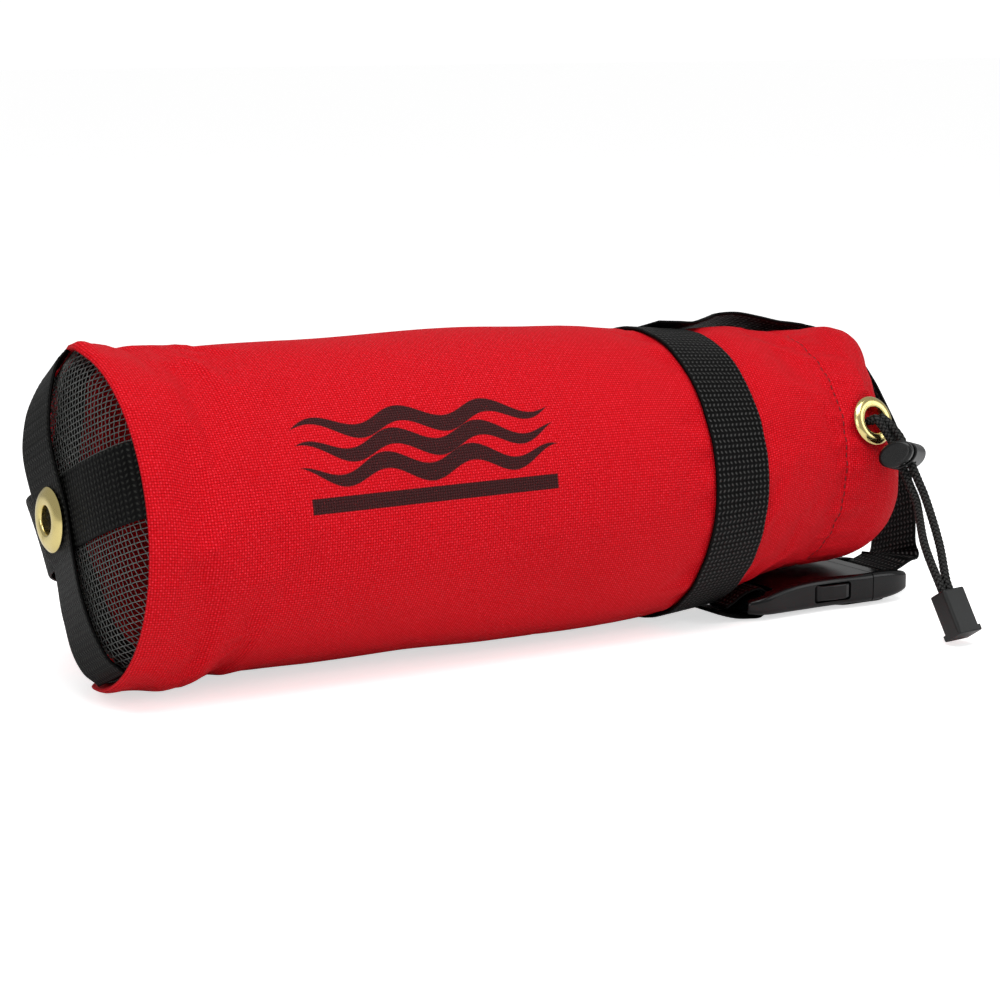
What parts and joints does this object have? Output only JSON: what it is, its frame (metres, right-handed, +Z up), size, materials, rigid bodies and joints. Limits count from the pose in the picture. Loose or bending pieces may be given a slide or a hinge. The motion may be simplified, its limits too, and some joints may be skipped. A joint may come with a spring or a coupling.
{
  "type": "throw rope bag",
  "caption": "Cylindrical fabric throw-line bag with a drain-mesh end, drawcord mouth, spring cord lock and a closure strap with a side-release buckle.",
  "frame": {"origin": "centre of the mesh end's grommet bore", "axes": "+X along the bag from the mesh end to the drawn mouth, +Z up with the bag lying on its side, -Y the side with the drawcord"},
  "size_m": [0.3586, 0.1633, 0.1185],
  "materials": {
    "red_cloth": "red plain-weave nylon pack cloth, coated inside",
    "mesh": "black vinyl-coated open mesh",
    "webbing": "black woven polypropylene webbing",
    "binding": "black seam tape",
    "cord": "black braided nylon cord",
    "line": "braided floating line",
    "brass": "polished brass",
    "acetal": "black moulded acetal, satin",
    "cord_end_plastic": "charcoal moulded plastic",
    "spring_steel": "drawn wire"
  },
  "bodies": {
    "bag": {"bag_body": "red_cloth", "drain_mesh_panel": "mesh", "end_strap_cross": "webbing", "end_strap_upright": "webbing", "end_seam_binding": "binding", "end_grommet_eyelet": "brass", "end_grommet_washer": "brass", "mouth_grommet_eyelet": "brass", "mouth_grommet_washer": "brass", "girth_strap": "webbing", "closure_strap_upper": "webbing", "buckle_socket": "acetal", "socket_strap": "webbing", "drawcord_hem": "cord", "throw_line": "line"},
    "strap_flap": {"closure_strap_lower": "webbing"},
    "plug": {"buckle_plug": "acetal", "closure_strap_tail": "webbing"},
    "prong_left": {"buckle_prong_left": "acetal"},
    "prong_right": {"buckle_prong_right": "acetal"},
    "cord_tails": {"drawcord_tails": "cord", "cord_end_sleeve": "cord_end_plastic", "cord_end_plug": "cord_end_plastic"},
    "cord_lock": {"cord_lock_body": "acetal", "cord_lock_spring": "spring_steel"},
    "plunger": {"cord_lock_plunger": "acetal"}
  },
  "joints": [
    {"name": "strap_swing", "type": "hinge", "parent": "bag", "child": "strap_flap", "pos_m": [0.3457, 0.00569, 0.01885], "axis": [0, -0.9659, 0.2588], "range_deg": [0, 60], "deforming": ["buckle_prong_left", "buckle_prong_right"]},
    {"name": "plug_tilt", "type": "hinge", "parent": "strap_flap", "child": "plug", "pos_m": [0.3333, -0.015, -0.0536], "axis": [0, -0.9659, 0.2588], "range_deg": [-60, 0]},
    {"name": "prong_left_squeeze", "type": "hinge", "parent": "plug", "child": "prong_left", "pos_m": [0.3239, -0.0046, -0.0536], "axis": [0, 0, 1], "range_deg": [0, 6], "stiffness_Nm_per_rad": 0.6},
    {"name": "prong_right_squeeze", "type": "hinge", "parent": "plug", "child": "prong_right", "pos_m": [0.3239, -0.0254, -0.0536], "axis": [0, 0, 1], "range_deg": [-6, 0]},
    {"name": "cord_swing", "type": "hinge", "parent": "bag", "child": "cord_tails", "pos_m": [0.31076, -0.04313, 0.0137], "axis": [0.9968, 0.0749, -0.0273], "range_deg": [-50, 0]},
    {"name": "lock_slide", "type": "slide", "parent": "cord_tails", "child": "cord_lock", "axis": [0.1, -0.5001, -0.8602], "range_m": [0, 0.01]},
    {"name": "plunger_press", "type": "slide", "parent": "cord_lock", "child": "plunger", "axis": [0.8199, 0.5312, -0.2135], "range_m": [0, 0.0014], "stiffness_N_per_m": 900, "springref_m": -0.0005, "deforming": ["cord_lock_spring"]}
  ],
  "couplings": [
    {"joint": "plug_tilt", "follows": "strap_swing", "ratio": -1},
    {"joint": "prong_right_squeeze", "follows": "prong_left_squeeze", "ratio": -1}
  ]
}
